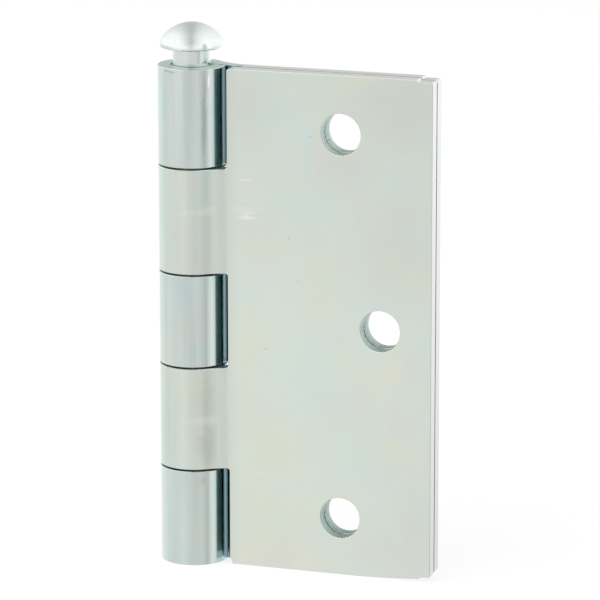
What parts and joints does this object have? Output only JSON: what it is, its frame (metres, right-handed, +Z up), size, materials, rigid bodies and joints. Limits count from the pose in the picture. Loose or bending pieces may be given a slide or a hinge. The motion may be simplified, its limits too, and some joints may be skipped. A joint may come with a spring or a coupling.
{
  "type": "butt hinge",
  "caption": "Zinc-plated steel butt hinge folded shut: two leaves with staggered round screw holes, curled knuckles and a dome-headed lift-out pin.",
  "frame": {"origin": "on the pin's axis at the lower end of the barrel, where the shut hinge stands", "axes": "+Z up along the pin, towards its head; +X from the pin across both leaves; +Y out of the rear leaf's outer face"},
  "size_m": [0.0504, 0.012, 0.0963],
  "materials": {
    "zinc_leaf": "bright zinc-plated pressed steel sheet",
    "zinc_pin": "bright zinc-plated turned steel, smoother than the leaves",
    "zinc_plug": "zinc-plated steel"
  },
  "bodies": {
    "rear_leaf": {"rear_leaf": "zinc_leaf", "bottom_plug": "zinc_plug"},
    "front_leaf": {"front_leaf": "zinc_leaf"},
    "hinge_pin": {"hinge_pin": "zinc_pin"}
  },
  "joints": [
    {"name": "leaf_swing", "type": "hinge", "parent": "rear_leaf", "child": "front_leaf", "pos_m": [0, 0, 0], "axis": [0, 0, -1], "range_deg": [0, 315]},
    {"name": "pin_lift", "type": "slide", "parent": "rear_leaf", "child": "hinge_pin", "axis": [0, 0, 1], "range_m": [0, 0.086]}
  ]
}
